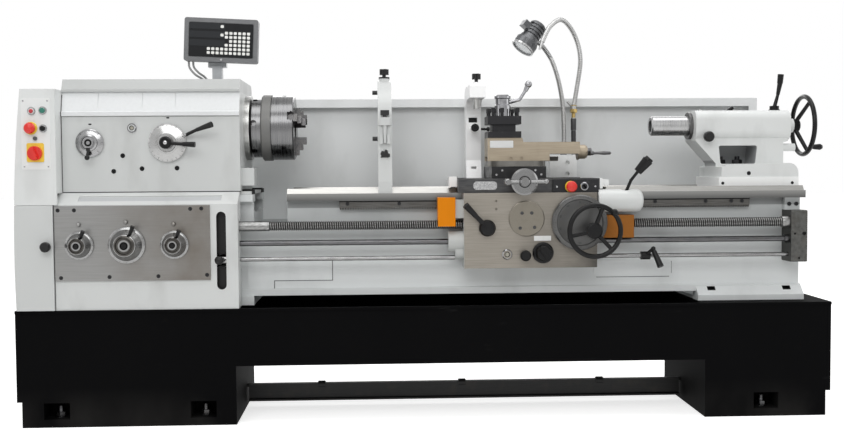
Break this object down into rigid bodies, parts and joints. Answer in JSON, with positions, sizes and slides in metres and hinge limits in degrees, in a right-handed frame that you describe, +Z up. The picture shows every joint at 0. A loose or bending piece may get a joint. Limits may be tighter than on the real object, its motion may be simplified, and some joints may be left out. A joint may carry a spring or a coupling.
{
  "type": "manual lathe",
  "caption": "Gap-bed engine lathe: turning chuck, sliding carriage with cross and compound slides, sliding tailstock, working dials, handwheels, rods, steady rest and foot brake.",
  "frame": {"origin": "on the floor, at the centre of the rectangle of the four outer anchor holes", "axes": "+X along the spindle from headstock to tailstock, +Y to the back of the machine, +Z up"},
  "size_m": [3.006, 0.716, 1.5069],
  "materials": {
    "stand_black": "textured black paint on folded sheet steel",
    "cream": "pale grey enamel on iron and sheet",
    "iron": "ground and oiled cast iron",
    "plate": "brushed steel plate",
    "steel": "turned and ground steel",
    "dark_steel": "oil-darkened steel",
    "chrome": "polished chrome",
    "black_oxide": "satin black oxide steel",
    "black_plastic": "moulded black thermoset plastic",
    "grey_plastic": "matt dark grey plastic",
    "red_plastic": "glossy red plastic",
    "orange": "orange enamel on folded sheet",
    "label": "pale satin anodised plate"
  },
  "bodies": {
    "machine": {"base": "stand_black", "bed": "cream", "rack": "steel", "headstock": "cream", "headstock_lid": "cream", "feed_gearbox": "cream", "gearbox_plate": "plate", "end_cover": "cream", "gear_cover": "cream", "switch_plate": "label", "rod_bracket": "iron", "splash_guard": "cream", "dro_arm": "black_oxide", "dro_console": "grey_plastic", "steady_rest": "cream"},
    "spindle_line": {"spindle": "steel", "chuck_body": "steel"},
    "carriage": {"saddle": "iron", "apron": "iron", "left_guard": "orange", "right_guard": "orange", "joystick_housing": "iron", "control_panel": "black_oxide", "follow_rest": "cream", "work_lamp": "dark_steel", "coolant_hose": "steel"},
    "tailstock": {"tailstock_base": "cream", "tailstock_body": "cream"},
    "chuck_jaw_1": {"chuck_jaw_1": "dark_steel"},
    "chuck_jaw_2": {"chuck_jaw_2": "dark_steel"},
    "chuck_jaw_3": {"chuck_jaw_3": "dark_steel"},
    "speed_dial": {"speed_dial": "chrome"},
    "range_lever": {"range_lever": "black_plastic"},
    "reverse_dial": {"reverse_dial": "chrome"},
    "feed_dial_1": {"feed_dial_1": "steel"},
    "feed_dial_2": {"feed_dial_2": "steel"},
    "feed_dial_3": {"feed_dial_3": "steel"},
    "control_rod": {"control_rod": "steel"},
    "lead_screw": {"lead_screw": "steel"},
    "feed_rod": {"feed_rod": "steel"},
    "brake_treadle": {"brake_treadle": "dark_steel"},
    "mains_switch": {"mains_switch": "red_plastic"},
    "stop_button": {"stop_button": "red_plastic"},
    "apron_handwheel": {"apron_handwheel": "black_plastic"},
    "half_nut_lever": {"half_nut_lever": "black_plastic"},
    "feed_knob": {"feed_knob": "black_plastic"},
    "joystick": {"joystick": "black_plastic"},
    "panel_stop_button": {"panel_stop_button": "red_plastic"},
    "start_lever": {"start_lever": "black_plastic"},
    "cross_slide": {"cross_slide": "black_oxide"},
    "cross_handwheel": {"cross_handwheel": "chrome"},
    "swivel_base": {"swivel_base": "iron"},
    "compound_slide": {"compound_slide": "iron"},
    "compound_crank": {"compound_crank": "chrome"},
    "toolpost": {"toolpost": "black_oxide"},
    "toolpost_lever": {"toolpost_lever": "steel"},
    "quill": {"quill": "steel"},
    "tail_handwheel": {"tail_handwheel": "black_plastic"},
    "tail_lever": {"tail_lever": "black_plastic"},
    "steady_top": {"steady_top": "cream"}
  },
  "joints": [
    {"name": "spindle_spin", "type": "hinge", "parent": "machine", "child": "spindle_line", "pos_m": [-0.6, 0, 1.075], "axis": [1, 0, 0], "continuous": true},
    {"name": "jaw_1_slide", "type": "slide", "parent": "spindle_line", "child": "chuck_jaw_1", "axis": [0, -0.9397, 0.342], "range_m": [-0.026, 0.01]},
    {"name": "jaw_2_slide", "type": "slide", "parent": "spindle_line", "child": "chuck_jaw_2", "axis": [0, 0.766, 0.6428], "range_m": [-0.026, 0.01]},
    {"name": "jaw_3_slide", "type": "slide", "parent": "spindle_line", "child": "chuck_jaw_3", "axis": [0, 0.1736, -0.9848], "range_m": [-0.026, 0.01]},
    {"name": "speed_dial_turn", "type": "hinge", "parent": "machine", "child": "speed_dial", "pos_m": [-0.887, -0.24, 1.015], "axis": [0, -1, 0], "range_deg": [-60, 60]},
    {"name": "range_lever_turn", "type": "hinge", "parent": "machine", "child": "range_lever", "pos_m": [-0.887, -0.24, 1.015], "axis": [0, -1, 0], "range_deg": [-45, 45]},
    {"name": "reverse_dial_turn", "type": "hinge", "parent": "machine", "child": "reverse_dial", "pos_m": [-1.164, -0.24, 1.016], "axis": [0, -1, 0], "range_deg": [-45, 45]},
    {"name": "feed_dial_1_turn", "type": "hinge", "parent": "machine", "child": "feed_dial_1", "pos_m": [-1.191, -0.3, 0.652], "axis": [0, -1, 0], "range_deg": [-120, 120]},
    {"name": "feed_dial_2_turn", "type": "hinge", "parent": "machine", "child": "feed_dial_2", "pos_m": [-1.025, -0.3, 0.652], "axis": [0, -1, 0], "range_deg": [-120, 120]},
    {"name": "feed_dial_3_turn", "type": "hinge", "parent": "machine", "child": "feed_dial_3", "pos_m": [-0.857, -0.3, 0.652], "axis": [0, -1, 0], "range_deg": [-120, 120]},
    {"name": "control_rod_turn", "type": "hinge", "parent": "machine", "child": "control_rod", "pos_m": [0, -0.233, 0.592], "axis": [1, 0, 0], "range_deg": [-20, 20]},
    {"name": "lead_screw_spin", "type": "hinge", "parent": "machine", "child": "lead_screw", "pos_m": [0, -0.233, 0.712], "axis": [1, 0, 0], "continuous": true},
    {"name": "feed_rod_spin", "type": "hinge", "parent": "machine", "child": "feed_rod", "pos_m": [0, -0.233, 0.65], "axis": [1, 0, 0], "continuous": true},
    {"name": "brake_press", "type": "hinge", "parent": "machine", "child": "brake_treadle", "pos_m": [0, 0.045, 0.076], "axis": [1, 0, 0], "range_deg": [0, 18], "stiffness_Nm_per_rad": 10, "springref_deg": -17.19},
    {"name": "mains_switch_turn", "type": "hinge", "parent": "machine", "child": "mains_switch", "pos_m": [-1.335, -0.3, 0.979], "axis": [0, -1, 0], "range_deg": [-90, 0]},
    {"name": "stop_button_press", "type": "slide", "parent": "machine", "child": "stop_button", "axis": [0, 1, 0], "range_m": [0, 0.006]},
    {"name": "carriage_slide", "type": "slide", "parent": "machine", "child": "carriage", "axis": [1, 0, 0], "range_m": [-0.2, 0.3]},
    {"name": "apron_wheel_turn", "type": "hinge", "parent": "carriage", "child": "apron_handwheel", "pos_m": [0.63, -0.3, 0.693], "axis": [0, 1, 0], "continuous": true},
    {"name": "half_nut_turn", "type": "hinge", "parent": "carriage", "child": "half_nut_lever", "pos_m": [0.259, -0.3, 0.701], "axis": [0, -1, 0], "range_deg": [0, 35]},
    {"name": "feed_knob_turn", "type": "hinge", "parent": "carriage", "child": "feed_knob", "pos_m": [0.461, -0.3, 0.61], "axis": [0, -1, 0], "range_deg": [-60, 60]},
    {"name": "joystick_tilt", "type": "hinge", "parent": "carriage", "child": "joystick", "pos_m": [0.765, -0.262, 0.818], "axis": [0, 1, 0], "range_deg": [-10, 10]},
    {"name": "panel_stop_press", "type": "slide", "parent": "carriage", "child": "panel_stop_button", "axis": [0, 1, 0], "range_m": [0, 0.006]},
    {"name": "start_lever_turn", "type": "hinge", "parent": "carriage", "child": "start_lever", "pos_m": [0.847, -0.233, 0.592], "axis": [1, 0, 0], "range_deg": [-20, 20]},
    {"name": "cross_feed", "type": "slide", "parent": "carriage", "child": "cross_slide", "axis": [0, 1, 0], "range_m": [-0.11, 0.1]},
    {"name": "cross_wheel_turn", "type": "hinge", "parent": "carriage", "child": "cross_handwheel", "pos_m": [0.388, -0.3, 0.867], "axis": [0, 1, 0], "continuous": true},
    {"name": "swivel_turn", "type": "hinge", "parent": "cross_slide", "child": "swivel_base", "pos_m": [0.393, -0.045, 0.93], "axis": [0, 0, -1], "range_deg": [-30, 90]},
    {"name": "compound_feed", "type": "slide", "parent": "swivel_base", "child": "compound_slide", "axis": [1, 0, 0], "range_m": [-0.02, 0.11]},
    {"name": "compound_crank_turn", "type": "hinge", "parent": "compound_slide", "child": "compound_crank", "pos_m": [0.67, -0.045, 0.977], "axis": [1, 0, 0], "continuous": true},
    {"name": "toolpost_turn", "type": "hinge", "parent": "compound_slide", "child": "toolpost", "pos_m": [0.345, -0.045, 1.05], "axis": [0, 0, 1], "range_deg": [-90, 90]},
    {"name": "toolpost_lever_turn", "type": "hinge", "parent": "toolpost", "child": "toolpost_lever", "pos_m": [0.345, -0.045, 1.12], "axis": [0, 0, -1], "range_deg": [0, 60]},
    {"name": "tailstock_slide", "type": "slide", "parent": "machine", "child": "tailstock", "axis": [1, 0, 0], "range_m": [-0.3, 0]},
    {"name": "quill_feed", "type": "slide", "parent": "tailstock", "child": "quill", "axis": [1, 0, 0], "range_m": [-0.02, 0.145]},
    {"name": "tail_wheel_turn", "type": "hinge", "parent": "tailstock", "child": "tail_handwheel", "pos_m": [1.48, 0, 1.075], "axis": [1, 0, 0], "continuous": true},
    {"name": "tail_lever_turn", "type": "hinge", "parent": "tailstock", "child": "tail_lever", "pos_m": [1.429, 0.04, 1.15], "axis": [0, 0, 1], "range_deg": [-60, 60]},
    {"name": "steady_open", "type": "hinge", "parent": "machine", "child": "steady_top", "pos_m": [-0.1055, 0.172, 1.075], "axis": [-1, 0, 0], "range_deg": [0, 40]}
  ],
  "couplings": [
    {"joint": "jaw_2_slide", "follows": "jaw_1_slide", "ratio": 1},
    {"joint": "jaw_3_slide", "follows": "jaw_1_slide", "ratio": 1},
    {"joint": "apron_wheel_turn", "follows": "carriage_slide", "rad_per_m": 251.33},
    {"joint": "start_lever_turn", "follows": "control_rod_turn", "ratio": 1},
    {"joint": "cross_wheel_turn", "follows": "cross_feed", "rad_per_m": 1256.6},
    {"joint": "compound_crank_turn", "follows": "compound_feed", "rad_per_m": 1256.6},
    {"joint": "tail_wheel_turn", "follows": "quill_feed", "rad_per_m": 1256.6}
  ]
}
